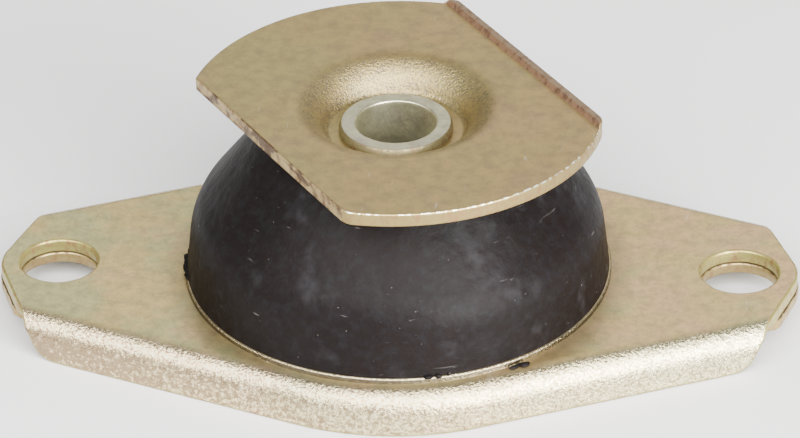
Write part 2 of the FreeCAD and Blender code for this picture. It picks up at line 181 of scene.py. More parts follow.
def placed(name: str, content: bpy.types.ID) -> bpy.types.Object:
    """Put a mesh, a lamp or a camera into the scene.

    Args:
        name: the object's name.
        content: the mesh, the lamp or the camera.

    Returns:
        The new object.
    """
    thing = bpy.data.objects.new(name, content)
    bpy.context.scene.collection.objects.link(thing)
    return thing


def spoke_at(angle: float) -> Vector:
    """The level direction at this angle from X."""
    return Vector((math.cos(angle), math.sin(angle), 0))


def stood(flat: Vector, height: float) -> Vector:
    """A point of the plan at a height."""
    return Vector((flat.x, flat.y, height))


def quarter_turn(steps: int) -> list[float]:
    """The angles that divide a quarter turn into steps, with both ends."""
    return [math.pi / 2 * step / steps for step in range(steps + 1)]


def ripple(place: Vector, size: float, seed: float) -> float:
    """A smooth random value from -1 to 1 at a place.

    Args:
        place: the place, in metres.
        size: how wide one ripple is, in metres.
        seed: a number that sets this ripple apart from the others.

    Returns:
        The value there.
    """
    return noise.noise(place / size + Vector((seed, seed * 1.7, -seed)))


def smooth_step(value: float) -> float:
    """Ease from 0 to 1 as value goes from 0 to 1."""
    held = min(1.0, max(0.0, value))
    return held * held * (3 - 2 * held)


# ---------------------------------------------------------------- finishes


class Graph:
    """A short way to lay out the nodes of one material."""

    def __init__(self, name: str) -> None:
        """Start a material with an empty shader.

        Args:
            name: the material's name.
        """
        self.material = bpy.data.materials.new(name)
        self.material.use_nodes = True
        self.tree = self.material.node_tree
        self.tree.nodes.clear()
        self.shader = self.tree.nodes.new("ShaderNodeBsdfPrincipled")
        output = self.tree.nodes.new("ShaderNodeOutputMaterial")
        self.join(self.shader.outputs["BSDF"], output.inputs["Surface"])
        self.place = self.node("TexCoord", "Object", {})

    def join(self, source: object, target: Socket) -> None:
        """Link a socket to an input, or set the input to a plain value.

        Args:
            source: the socket or the value.
            target: the input.
        """
        if isinstance(source, Socket):
            self.tree.links.new(source, target)
        elif target.type == "RGBA":
            target.default_value = (*source, 1.0)
        else:
            target.default_value = source

    def set(self, **values: object) -> None:
        """Set or link the shader's own sockets, by name with _ for a space."""
        for name, value in values.items():
            self.join(value, self.shader.inputs[name.replace("_", " ")])

    def node(
        self, kind: str, output: str | int, inputs: dict[str | int, object], **settings: str
    ) -> Socket:
        """Add one node.

        Args:
            kind: what kind of node it is.
            output: which of its outputs is wanted.
            inputs: what goes into its inputs; those that are None are left alone.
            settings: its options.

        Returns:
            The output.
        """
        node = self.tree.nodes.new(f"ShaderNode{kind}")
        for name, value in settings.items():
            setattr(node, name, value)
        for name, value in inputs.items():
            if value is not None:
                self.join(value, node.inputs[name])
        return node.outputs[output]

    def noise(
        self,
        size: float,
        detail: float = 3.0,
        roughness: float = 0.55,
        stretch: Sequence[float] = (1, 1, 1),
        distortion: float = 0.0,
        seed: float = 0.0,
    ) -> Socket:
        """Add a noise field over the piece.

        Args:
            size: how wide one patch is, in metres.
            detail: how many finer layers it has.
            roughness: how strong the finer layers are.
            stretch: how much finer it is along X, Y and Z.
            distortion: how far it is stirred.
            seed: moves the field, to set it apart from the others.

        Returns:
            The field's value, from 0 to 1.
        """
        scale = [share / size for share in stretch]
        away = (seed, -seed * 1.3, seed * 0.7)
        inputs = {"Scale": scale, "Location": away, "Vector": self.place}
        inputs = {
            "Vector": self.node("Mapping", "Vector", inputs),
            "Scale": 1.0,
            "Detail": detail,
            "Roughness": roughness,
            "Distortion": distortion,
        }
        return self.node("TexNoise", "Fac", inputs)

    def ramp(self, value: Socket, low: float, high: float) -> Socket:
        """Stretch a value so that low becomes 0 and high becomes 1, held at both ends."""
        inputs = {"Value": value, "From Min": low, "From Max": high}
        return self.node("MapRange", "Result", inputs, interpolation_type="SMOOTHSTEP")

    def mix(self, amount: object, under: object, over: object) -> Socket:
        """Mix two colours: an amount of 0 gives the first, and 1 the second."""
        inputs = {"Factor": amount, "A": under, "B": over}
        return self.node("Mix", "Result", inputs, data_type="RGBA")

    def layer(self, amount: Socket, strength: float, under: object, over: object) -> Socket:
        """Lay a colour over another, at this strength where the amount is 1."""
        return self.mix(self.times(amount, strength), under, over)

    def marks(
        self, size: float, low: float, high: float, shift: object = 0.0, **kind: object
    ) -> Socket:
        """Show where a noise field, moved up by a shift, rises from one level to another."""
        return self.ramp(self.plus(self.noise(size, **kind), shift), low, high)

    def work(self, operation: str, first: object, second: object = 0.0) -> Socket:
        """Do one sum, such as ABSOLUTE or MAXIMUM."""
        return self.node("Math", 0, {0: first, 1: second}, operation=operation)

    def times(self, first: object, second: object) -> Socket:
        """Multiply two values."""
        return self.work("MULTIPLY", first, second)

    def plus(self, first: object, second: object) -> Socket:
        """Add two values."""
        return self.work("ADD", first, second)

    def less(self, first: object, second: object) -> Socket:
        """Take the second value from the first."""
        return self.work("SUBTRACT", first, second)

    def part(self, source: Socket, axis: str) -> Socket:
        """One part, X, Y or Z, of a vector."""
        return self.node("SeparateXYZ", axis, {0: source})

    def radius(self) -> Socket:
        """How far the surface is from the mount's axis."""
        across, along = (self.part(self.place, axis) for axis in "XY")
        return self.work("SQRT", self.plus(self.times(across, across), self.times(along, along)))

    def level(self) -> Socket:
        """How level the surface is: 1 where it faces up or down, and 0 where it is upright."""
        return self.work("ABSOLUTE", self.part(self.node("NewGeometry", "Normal", {}), "Z"))

    def bump(self, height: Socket, depth: float, under: Socket | None = None) -> Socket:
        """Raise the surface by a height field this deep, over another bump if there is one."""
        inputs = {"Strength": 1.0, "Distance": depth, "Height": height, "Normal": under}
        return self.node("Bump", "Normal", inputs)


@dataclass(frozen=True)
class Passivate:
    """Zinc plate with a yellow passivate: tan, with green and pink clouds and a fine grain.

    The grain is faint on flat faces and strong where the sheet was stretched over a bend, with
    painted glints on its crests and painted shade in its hollows.
    """

    name: str
    tan: Colour = (0.60, 0.46, 0.22)
    green: Colour = (0.50, 0.46, 0.22)
    pink: Colour = (0.62, 0.42, 0.27)
    rust: Colour = (0.40, 0.20, 0.07)
    pale: Colour = (0.90, 0.84, 0.66)
    dark: Colour = (0.20, 0.16, 0.10)
    # The next colour is laid on the grain's crests as painted glints, over the real pale flecks.
    crest: Colour = (0.92, 0.82, 0.53)
    # The next colour makes brown flecks on upright faces: partly real flecks, partly painted shade
    # that darkens the skirts.
    fleck: Colour = (0.26, 0.18, 0.10)
    thin: Colour = (0.70, 0.62, 0.42)
    # The next colour is painted shade, laid near-black on the land's upright step beside the
    # rubber; the radius and reaches after it set where painted shade falls round the rubber's
    # foot.
    painted_shade: Colour = (0.06, 0.05, 0.035)
    shade_radius: float = 0.0
    shade_reach: float = 5 * MM
    step_reach: float = 0.5 * MM
    cloud_size: float = 16 * MM
    cloud_strength: float = 0.55
    mottle_strength: float = 0.45
    # The next value shifts the clouds and flecks along X, as painted light on the skirts: darker
    # and pinker at the left, greener at the right.
    drift: float = 0.0
    # The next strength scales the painted glints and shade on the grain, with the stretched and
    # flecked colours.
    sparkle: float = 1.0
    grain_size: float = 0.46 * MM
    grain_depth: float = 0.17 * MM
    flat_grain: float = 0.08
    flat_band: Point = (0.90, 0.999)
    upright_band: Point = (0.66, 0.25)
    crest_band: Point = (0.46, 0.62)
    hollow_band: Point = (0.54, 0.38)
    bend_roughness: float = 0.24
    flat_roughness: float = 0.42
    seed: float = 0.0

    def make(self) -> bpy.types.Material:
        """Lay out the material.

        Returns:
            The material.
        """
        graph = Graph(self.name)
        seed = self.seed
        level = graph.level()
        flat, upright = graph.ramp(level, *self.flat_band), graph.ramp(level, *self.upright_band)
        share = graph.times(graph.less(1.0, flat), 1.0 - self.flat_grain)
        share = graph.plus(share, self.flat_grain)
        # Painted light along X: the clouds and flecks shift with X, so on the skirts the left is
        # pinker and more flecked and the right greener, as the light falls from the right; on the
        # flats the shift runs the other way.
        sideways = graph.times(graph.part(graph.place, "X"), self.drift / MM)
        sideways = graph.times(sideways, graph.less(1.0, graph.times(share, 2.5)))
        grain = graph.noise(self.grain_size, 3, 0.65, seed=seed + 5.0)
        other_way = graph.times(sideways, -1.0)
        green = graph.marks(
            self.cloud_size, 0.42, 0.66, other_way, detail=5, roughness=0.6, seed=seed + 3.0
        )
        pink = graph.marks(
            self.cloud_size * 0.7, 0.46, 0.70, sideways, detail=5, roughness=0.62, seed=seed + 11.0
        )
        mottle = graph.marks(2.4 * MM, 0.35, 0.72, detail=6, roughness=0.75, seed=seed + 41.0)
        rust = graph.marks(0.8 * MM, 0.66, 0.74, detail=2, seed=seed + 7.0)
        speck = graph.marks(0.5 * MM, 0.70, 0.78, detail=2, seed=seed + 23.0)
        drawn = {"stretch": (2.6, 0.35, 0.35), "distortion": 0.5}
        scratch = graph.marks(
            2.6 * MM, 0.70, 0.76, detail=2, roughness=0.5, seed=seed + 27.0, **drawn
        )
        # Brown flecks, laid on upright faces below: partly real flecks, partly painted shade on
        # the skirts.
        fleck = graph.marks(
            0.75 * MM, 0.50, 0.60, sideways, detail=4, roughness=0.7, seed=seed + 51.0
        )
        # Painted glints and shade on the grain: pale on its crests, dark in its hollows, strongest
        # over the bends; partly the real pale and brown flecks.
        crest = graph.times(graph.ramp(grain, *self.crest_band), share)
        hollow = graph.times(graph.ramp(grain, *self.hollow_band), share)
        layers = (
            (green, self.cloud_strength, self.green),
            (pink, self.cloud_strength, self.pink),
            (mottle, self.mottle_strength, self.dark),
            (rust, 0.35, self.rust),
            (speck, 0.40, self.dark),
            (scratch, 0.30, self.pale),
            (share, 0.45 * self.sparkle, self.thin),
            (crest, 0.60 * self.sparkle, self.crest),
            (hollow, 0.70 * self.sparkle, self.dark),
            (graph.times(fleck, upright), 0.85 * self.sparkle, self.fleck),
        )
        colour = self.tan
        for amount, strength, over in layers:
            colour = graph.layer(amount, strength, colour, over)
        # Painted shade round the rubber's foot: the flat darkens within the shade reach, and the
        # land's upright step beside it goes near-black.
        if self.shade_radius:
            near, step = (
                graph.ramp(graph.radius(), self.shade_radius + reach, self.shade_radius)
                for reach in (self.shade_reach, self.step_reach)
            )
            colour = graph.layer(near, 0.45, colour, self.dark)
            colour = graph.layer(graph.times(step, upright), 0.85, colour, self.painted_shade)
        wear = graph.noise(self.cloud_size * 0.4, 5, 0.6, seed=seed + 31.0)
        rough = graph.times(flat, self.flat_roughness - self.bend_roughness)
        rough = graph.plus(rough, self.bend_roughness - 0.06)
        rough = graph.plus(rough, graph.times(wear, 0.12))
        pitting = graph.noise(self.grain_size * 4, 3, 0.5, seed=seed + 19.0)
        relief = graph.bump(pitting, 0.006 * MM)
        relief = graph.bump(graph.times(grain, share), self.grain_depth, relief)
        graph.set(Base_Color=colour, Metallic=0.95, Roughness=rough, Normal=relief)
        return graph.material


@dataclass(frozen=True)
class ShearedEdge:
    """The cut edge of a plated sheet: smooth where it was sheared, darker where it tore."""

    name: str
    smooth: Colour = (0.34, 0.30, 0.09)
    torn: Colour = (0.28, 0.17, 0.065)
    rust: Colour = (0.20, 0.10, 0.05)
    # The next colour is painted shade for the dark line where the two stacked sheets meet.
    painted_shade: Colour = (0.06, 0.042, 0.022)
    tear_low: float = 0.45
    tear_high: float = 0.65
    rust_strength: float = 0.35
    rust_size: float = 2.5 * MM
    rust_low: float = 0.56
    depth: float = 0.035 * MM
    roughness: float = 0.36
    # The seam is the height of that painted shade line, where this sheet meets the other.
    seam: float | None = None

    def make(self) -> bpy.types.Material:
        """Lay out the material.

        Returns:
            The material.
        """
        graph = Graph(self.name)
        kind = {"detail": 4, "roughness": 0.6}
        low, high = self.tear_low, self.tear_high
        tear = graph.marks(1.1 * MM, low, high, stretch=(1, 1, 0.6), seed=2.0, **kind)
        low = self.rust_low
        spots = graph.marks(self.rust_size, low, low + 0.10, stretch=(1, 1, 1.6), seed=9.0, **kind)
        colour = graph.mix(tear, self.smooth, self.torn)
        colour = graph.layer(spots, self.rust_strength, colour, self.rust)
        # Painted shade at the joint between the stacked sheets: a dark wavy line at the seam's
        # height.
        if self.seam is not None:
            height = graph.less(graph.part(graph.place, "Z"), self.seam)
            wave = graph.times(graph.less(tear, 0.5), 0.20 * MM)
            away = graph.work("ABSOLUTE", graph.plus(height, wave))
            colour = graph.layer(graph.ramp(away, 0.27 * MM, 0.10 * MM), 0.85, colour, self.painted_shade)
        grain = graph.noise(0.40 * MM, 4, 0.65, stretch=(1, 1, 0.6), seed=4.0)
        relief = graph.bump(grain, self.depth)
        rough = graph.plus(graph.times(tear, 0.14), self.roughness)
        graph.set(Base_Color=colour, Metallic=0.7, Roughness=rough, Normal=relief)
        return graph.material


@dataclass(frozen=True)
class MouldedRubber:
    """Black moulded rubber, with soft grey clouds, pale scuffs and specks of dust."""

    name: str
    black: Colour = (0.0028, 0.0021, 0.0020)
    brown: Colour = (0.0060, 0.0038, 0.0036)
    slate: Colour = (0.0066, 0.0061, 0.0070)
    grey_cloud: Colour = (0.020, 0.019, 0.021)
    dust: Colour = (0.26, 0.25, 0.23)

    def make(self) -> bpy.types.Material:
        """Lay out the material.

        Returns:
            The material.
        """
        graph = Graph(self.name)
        tint = graph.noise(12 * MM, 4, seed=1.0)
        cloud = graph.marks(8 * MM, 0.54, 0.78, detail=5, roughness=0.6, seed=14.0)
        gather = graph.times(graph.noise(15 * MM, 3, seed=33.0), 0.25)
        speck = graph.marks(0.5 * MM, 0.90, 0.95, gather, detail=1, seed=21.0)
        drawn = {"stretch": (0.35, 0.35, 2.2), "distortion": 0.6}
        streak = graph.marks(2.2 * MM, 0.68, 0.76, roughness=0.6, seed=17.0, **drawn)
        veil = graph.marks(1.7 * MM, 0.42, 0.70, detail=5, roughness=0.7, seed=27.0)
        colour = graph.mix(tint, self.black, self.brown)
        colour = graph.layer(veil, 0.7, colour, self.slate)
        colour = graph.layer(cloud, 0.7, colour, self.grey_cloud)
        marks = graph.work("MAXIMUM", speck, graph.times(streak, 0.45))
        colour = graph.layer(marks, 0.30, colour, self.dust)
        relief = graph.bump(graph.noise(6 * MM, 2, seed=12.0), 0.35 * MM)
        relief = graph.bump(graph.noise(1.3 * MM, 5, 0.62, seed=8.0), 0.10 * MM, relief)
        rough = graph.plus(graph.times(cloud, 0.12), 0.50)
        graph.set(Base_Color=colour, Roughness=rough, Specular_IOR_Level=0.075, Normal=relief)
        return graph.material


class Slot(Enum):
    """The pack's material slots."""

    FLANGE = "plated_flange"
    BASE = "plated_base"
    RUBBER = "moulded_rubber"
    SLEEVE = "plated_sleeve"
    PLATE = "plated_plate"


# ---------------------------------------------------------------- pieces


@dataclass
class Piece:
    """One separate piece of the mount: which solid it stands for and what it is made of."""

    name: str
    node: str
    slot: Slot
    lowest: Vector = field(init=False)
    highest: Vector = field(init=False)
    thing: bpy.types.Object | None = field(init=False, default=None)

    def __post_init__(self) -> None:
        """Read the solid's box from the frame."""
        self.lowest, self.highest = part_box(self.node)

    def build(self) -> bpy.types.Object:
        """Make the mesh."""
        raise NotImplementedError

    def dress(self) -> None:
        """Give the mesh its finishes."""
        raise NotImplementedError

    def coat(self, *finishes: Passivate | ShearedEdge | MouldedRubber) -> None:
        """Add finishes to the mesh, in the order that its faces count them."""
        for finish in finishes:
            self.thing.data.materials.append(finish.make())

    def fit(self) -> None:
        """Build and dress the piece, and put it in the place of its solid."""
        self.thing = self.build()
        self.dress()
        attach(self.thing, BODY)
        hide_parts(self.node)
        log.info("%s: %d faces", self.name, len(self.thing.data.polygons))


def mirrored(quarter: Sequence[Corner]) -> list[Corner]:
    """Mirror a quarter's corners, which start at the front and end at the right.

    Args:
        quarter: the corners, the first on the Y axis and the last on the X axis.

    Returns:
        All the corners of the outline, anticlockwise.
    """
    back = [Corner(part.reach, -part.height, part.radius) for part in reversed(quarter[:-1])]
    half = [*quarter, *back]
    left = [Corner(-part.reach, part.height, part.radius) for part in reversed(half[1:-1])]
    return half + left


def facing(outline: Sequence[Vector]) -> list[Vector]:
    """The outward direction at each point of an anticlockwise outline.

    Args:
        outline: the outline's points.

    Returns:
        One direction for each point.
    """
    count = len(outline)
    found = []
    for index in range(count):
        along = outline[(index + 1) % count] - outline[index - 1]
        found.append(Vector((along.y, -along.x)).normalized())
    return found


def spread_rows(knots: Sequence[float], counts: Sequence[int], gap: float) -> list[float]:
    """Spread rows between knots that may fall outside the first and last of them.

    Args:
        knots: the first place, the places between, and the last place.
        counts: how many rows each stretch has.
        gap: the least length of a stretch, as a share of the whole.

    Returns:
        The places of the rows, without the first knot.
    """
    first, last = knots[0], knots[-1]
    least = (last - first) * gap
    held = [first]
    for index, knot in enumerate(knots[1:-1], start=1):
        room_above = least * (len(knots) - 1 - index)
        held.append(min(max(knot, held[-1] + least), last - room_above))
    held.append(last)
    rows: list[float] = []
    for start, end, count in zip(held, held[1:], counts):
        rows.extend(start + (end - start) * step / count for step in range(1, count + 1))
    return rows


def edge_rows(
    edge: Vector, out: Vector, edge_round: float, sheet: float, wall_rows: int = 0
) -> list[tuple[Vector, float]]:
    """The rows round the rounded edge of a sheet, from its upper face to its lower one.

    Args:
        edge: the outermost point, in the plan.
        out: the way that the edge faces.
        edge_round: how round the sheet's two edges are.
        sheet: how thick the sheet is.
        wall_rows: how many more rows there are between the two rounds.

    Returns:
        Where each row is in the plan, and how deep it lies below the upper face.
    """
    turns = quarter_turn(EDGE_STEPS)
    inset = edge - out * edge_round
    rows = [
        (inset + out * edge_round * math.sin(turn), edge_round * (1 - math.cos(turn)))
        for turn in turns
    ]
    for row in range(wall_rows):
        share = (row + 1) / (wall_rows + 1)
        rows.append((edge, edge_round + (sheet - 2 * edge_round) * share))
    for turn in turns:
        flat = edge - out * edge_round * (1 - math.cos(turn))
        rows.append((flat, sheet - edge_round * (1 - math.sin(turn))))
    return rows


def mark_rows(thing: bpy.types.Object, rows: int, marked: Sequence[int]) -> None:
    """Give the faces of some rows of a ring, which has this many, the second finish.

    Args:
        thing: the ring.
        rows: how many rows it has.
        marked: the rows to mark.
    """
    for polygon in thing.data.polygons:
        if polygon.index % rows in marked:
            polygon.material_index = 1


@dataclass(frozen=True)
class BoltHole:
    """A punched bolt hole: rolled in at the top, sheared, then torn below."""

    centre: Point
    radius: float
    top: float
    sheet: float
    seed: float
    roll: float = 0.45 * MM
    sheared_share: float = 0.5
    tear: float = 0.22 * MM
    ragged: float = 0.35
    ragged_size: float = 1.1 * MM
    wave: float = 0.05 * MM
    wave_size: float = 4 * MM
    steps: int = 5
    past: float = 2 * MM
    columns: int = 120

    def section(self) -> list[tuple[float, float]]:
        """The plug's height and how far it stands out from the hole, from the top down.

        Returns:
            Each height with how far the plug stands out there.
        """
        bottom = self.top - self.sheet
        tear_start = self.top - self.sheet * self.sheared_share
        section = [(self.top + self.past, self.roll)]
        for turn in quarter_turn(self.steps):
            height = self.top - self.roll * (1 - math.cos(turn))
            section.append((height, self.roll * (1 - math.sin(turn))))
        for step in range(self.steps + 1):
            share = step / self.steps
            section.append((tear_start + (bottom - tear_start) * share, self.tear * share))
        section.append((bottom - self.past, self.tear))
        return section

    def plug(self) -> bpy.types.Object:
        """Make the plug that cuts the hole.

        Returns:
            The plug.
        """
        shell = bmesh.new()
        rings = []
        for height, out in self.section():
            ring = []
            for column in range(self.columns):
                spoke = spoke_at(TAU * column / self.columns)
                place = Vector((*self.centre, height)) + spoke * self.radius
                ragged = self.ragged * out * ripple(place, self.ragged_size, self.seed)
                wave = self.wave * ripple(place, self.wave_size, self.seed)
                ring.append(shell.verts.new(place + spoke * (out + ragged + wave)))
            rings.append(ring)
        for upper, lower in zip(rings, rings[1:]):
            for column in range(self.columns):
                beside = (column + 1) % self.columns
                shell.faces.new((upper[column], lower[column], lower[beside], upper[beside]))
        shell.faces.new(rings[0])
        shell.faces.new(list(reversed(rings[-1])))
        bmesh.ops.recalc_face_normals(shell, faces=shell.faces)
        for face in shell.faces:
            face.smooth = True
            face.material_index = 1
        mesh = bpy.data.meshes.new("plug")
        shell.to_mesh(mesh)
        shell.free()
        return placed("plug", mesh)


@dataclass
class LozengeSheet(Piece):
    """A lozenge sheet with a round ear at each end and a bolt hole in each ear."""

    ear: float = 9.85 * MM
    bolt: float = 57.5 * MM
    hole_radius: float = 6.5 * MM
    ear_side: float = math.radians(70)
    side: float = math.radians(22.2)
    edge_round: float = 0.4 * MM
    spacing: float = 0.9 * MM
    wander_size: float = 3 * MM

    @property
    def ear_offset(self) -> float:
        """How far the line of the ear's slanted edge passes from the axis."""
        return self.ear + self.bolt * math.sin(self.ear_side)

    def lozenge(self, reach: float) -> list[Corner]:
        """One quarter of the plan, from the bulge in front to the ear.

        Args:
            reach: the axis to a long side.

        Returns:
            The bulge, the corner between the long side and the slanted edge, and the ear's tip.
        """
        spread = math.sin(self.ear_side - self.side)
        offset = self.ear_offset
        across = (offset * math.cos(self.side) - reach * math.cos(self.ear_side)) / spread
        along = (reach * math.sin(self.ear_side) - offset * math.sin(self.side)) / spread
        return [
            Corner(0, -reach / math.cos(self.side), reach),
            Corner(across, -along),
            Corner(self.bolt + self.ear / math.sin(self.ear_side), 0, self.ear),
        ]

    def punch(self, top: float, sheet: float, seed: float) -> None:
        """Punch the two bolt holes, whose walls have the cut edge's finish.

        Args:
            top: the height of the sheet's upper face.
            sheet: how thick the sheet is.
            seed: sets how these holes tear apart from the others.
        """
        holes = (
            BoltHole((self.bolt * way, 0), self.hole_radius, top, sheet, seed + way)
            for way in (-1, 1)
        )
        plugs = [hole.plug() for hole in holes]
        for plug in plugs:
            for material in self.thing.data.materials:
                plug.data.materials.append(material)
            cut = self.thing.modifiers.new("hole", "BOOLEAN")
            cut.operation = "DIFFERENCE"
            cut.solver = "EXACT"
            cut.object = plug
        graph = bpy.context.evaluated_depsgraph_get()
        punched = bpy.data.meshes.new_from_object(self.thing.evaluated_get(graph))
        self.thing.modifiers.clear()
        self.thing.data = punched
        for plug in plugs:
            bpy.data.objects.remove(plug)


@dataclass
class PressedFlange(LozengeSheet):
    """The lozenge flange: a long skirt each side, a raised land and a collar.

    The sheet is drawn flat, as its blank, and then folded over the bends.
    """

    sheet: float = 2.5 * MM
    bend: float = 4.0 * MM
    slant: float = 2.4 * MM
    skirt_corner: float = 4.5 * MM
    land: float = 35.95 * MM
    land_height: float = 0.9 * MM
    collar_bore: float = 27 * MM
    mouth: float = 2.5 * MM
    rim_round: float = 0.3 * MM
    land_foot: float = 0.06 * MM
    section_spacing: float = 0.6 * MM
    wander: float = 0.05 * MM
    end_stops: int = 8
    wall_rows: int = 3
    flat_rows: int = 8
    bend_rows: int = 12
    skirt_rows: int = 5
    least_gap: float = 0.02

    @cached_property
    def top(self) -> float:
        """Height of the flange's flat top face."""
        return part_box("base_plate")[1].z + self.sheet

    @property
    def bend_start(self) -> float:
        """Where the bends begin, out from the axis."""
        return self.highest.y - self.bend

    @property
    def developed(self) -> float:
        """How wide the blank is past the start of the bend."""
        return self.bend * math.pi / 2 + self.top - self.bend

    def bent(self, beyond: float) -> tuple[float, float, float]:
        """Follow the bend to a point of the blank.

        Args:
            beyond: how far past the start of the bend the point is.

        Returns:
            How far the sheet has turned there, how far out the point is and how far down.
        """
        turn = min(beyond / self.bend, math.pi / 2)
        drop = self.bend * (1 - math.cos(turn)) + beyond - self.bend * turn
        return turn, self.bend * math.sin(turn), drop

    def swing(self, flat: Vector) -> float:
        """The angle to Y of the way that the sheet folds at a point of the blank."""
        return max(-self.side, min(self.side, math.atan2(flat.x, abs(flat.y))))

    def fold(self, flat: Vector, depth: float) -> Vector:
        """Carry a point of the blank over the bend.

        Args:
            flat: the point, in the plan of the blank.
            depth: how far below the outer face it lies.

        Returns:
            The place of the point on the pressed sheet.
        """
        swing = self.swing(flat)
        out = Vector((math.sin(swing), (-1 if flat.y < 0 else 1) * math.cos(swing)))
        beyond = flat.dot(out) - self.bend_start
        if beyond <= 0:
            return stood(flat, self.top - depth)
        turn, reach, drop = self.bent(beyond)
        foot = flat - out * beyond + out * (reach - depth * math.sin(turn))
        return stood(foot, self.top - drop - depth * math.cos(turn))

    def skirt_end(self, beyond: float) -> Corner:
        """Where the blank's end edge is, this far past the start of the bend.

        Args:
            beyond: the distance past the start of the bend.

        Returns:
            The point of the blank's outline.
        """
        across, along = math.cos(self.side), math.sin(self.side)
        _, reach, drop = self.bent(beyond)
        reach += self.bend_start
        lean = self.ear_side - self.side
        run = (self.ear_offset - reach * math.cos(lean)) / math.sin(lean)
        under = self.top - self.sheet
        below = drop - self.sheet
        if below > 0:
            limit = self.lozenge(self.highest.y)[1].reach - self.slant * below / under
            run = min(run, (limit - reach * along) / across)
        developed = self.bend_start + beyond
        return Corner(developed * along + run * across, -developed * across + run * along)

    def blank(self) -> list[Vector]:
        """The outline of the blank, anticlockwise.

        Returns:
            The outline's points.
        """
        reach = self.bend_start + self.developed
        bulge, _, tip = self.lozenge(reach)
        lower = self.skirt_end(self.developed)
        quarter = [bulge, Corner(lower.reach, lower.height, self.skirt_corner)]
        curved = self.bend * math.pi / 2
        for stop in range(self.end_stops + 1):
            quarter.append(self.skirt_end(curved * (1 - stop / self.end_stops)))
        return trace(mirrored([*quarter, tip]), self.spacing)

    def middle(self) -> list[Vector]:
        """The section from the recess under the land, over the collar, to the land's foot.

        Returns:
            The section's points.
        """
        under = self.top - self.sheet
        land_top = self.top + self.land_height
        land_under = land_top - self.sheet
        recess = self.land - self.sheet
        collar_outside = self.collar_bore + self.sheet
        corners = (
            Corner(recess, under),
            Corner(recess, land_under),
            Corner(self.collar_bore, land_under, self.mouth),
            Corner(self.collar_bore, self.highest.z, self.rim_round),
            Corner(collar_outside, self.highest.z, self.rim_round),
            Corner(collar_outside, land_top),
            Corner(self.land, land_top, self.rim_round),
            Corner(self.land, self.top + self.land_foot),
        )
        return trace(corners, self.section_spacing, closed=False)

    def rows_out(self, spoke: Vector, start: float, end: float) -> list[Vector]:
        """Places along a spoke of the blank, close together over the bend.

        Args:
            spoke: the spoke's direction.
            start: how far out along it the places start.
            end: how far out they end.

        Returns:
            The places, without the first.
        """
        swing = self.swing(spoke)
        share = spoke.x * math.sin(swing) + abs(spoke.y) * math.cos(swing)
        first, last = start * share - self.bend_start, end * share - self.bend_start
        knots = (first, 0.0, self.bend * math.pi / 2, last)
        counts = (self.flat_rows, self.bend_rows, self.skirt_rows)
        rows = spread_rows(knots, counts, self.least_gap)
        return [spoke * ((self.bend_start + row) / share) for row in rows]

    def column(self, place: Vector, out: Vector, middle: Sequence[Vector]) -> list[Vector]:
        """One closed section of the sheet, from the land out to its edge and back below.

        Args:
            place: the point of the blank's outline.
            out: the way that the outline faces there.
            middle: the section of the collar and the land.

        Returns:
            The section's points.
        """
        spoke = place.normalized()
        edge = place - out * self.wander * (1 + ripple(place.to_3d(), self.wander_size, 4.0))
        end = (edge - out * self.edge_round).dot(spoke)
        column = [stood(spoke * part.x, part.y) for part in middle]
        column.extend(self.fold(row, 0.0) for row in self.rows_out(spoke, self.land, end)[:-1])
        rim = edge_rows(edge, out, self.edge_round, self.sheet, self.wall_rows)
        column.extend(self.fold(flat, depth) for flat, depth in rim)
        inward = reversed(self.rows_out(spoke, middle[0].x, end)[:-1])
        column.extend(self.fold(row, self.sheet) for row in inward)
        return column

    def build(self) -> bpy.types.Object:
        """Fold the blank and join its sections.

        Returns:
            The sheet, before its holes are punched.
        """
        outline = self.blank()
        middle = self.middle()
        pairs = zip(outline, facing(outline))
        columns = [self.column(place, out, middle) for place, out in pairs]
        thing = ring_mesh(self.name, columns)
        first = len(middle) + self.flat_rows + self.bend_rows + self.skirt_rows - 1
        last = first + 2 * EDGE_STEPS + self.wall_rows
        mark_rows(thing, len(columns[0]), range(first, last + 1))
        return thing

    def dress(self) -> None:
        """Plate the sheet and its cut edges, then punch its bolt holes."""
        finish = Passivate(
            "flange_passivate",
            tan=(0.84, 0.63, 0.25),
            green=(0.62, 0.62, 0.29),
            pink=(0.92, 0.60, 0.31),
            cloud_strength=0.85,
            cloud_size=13 * MM,
            # painted light along X on the skirts
            drift=0.0015,
            # painted shade round the rubber's foot, at this radius
            shade_radius=36 * MM,
        )
        # The seam below paints shade where the flange meets the base sheet.
        self.coat(finish, ShearedEdge("flange_cut_edge", seam=self.top - self.sheet))
        self.punch(self.top, self.sheet, 5.0)


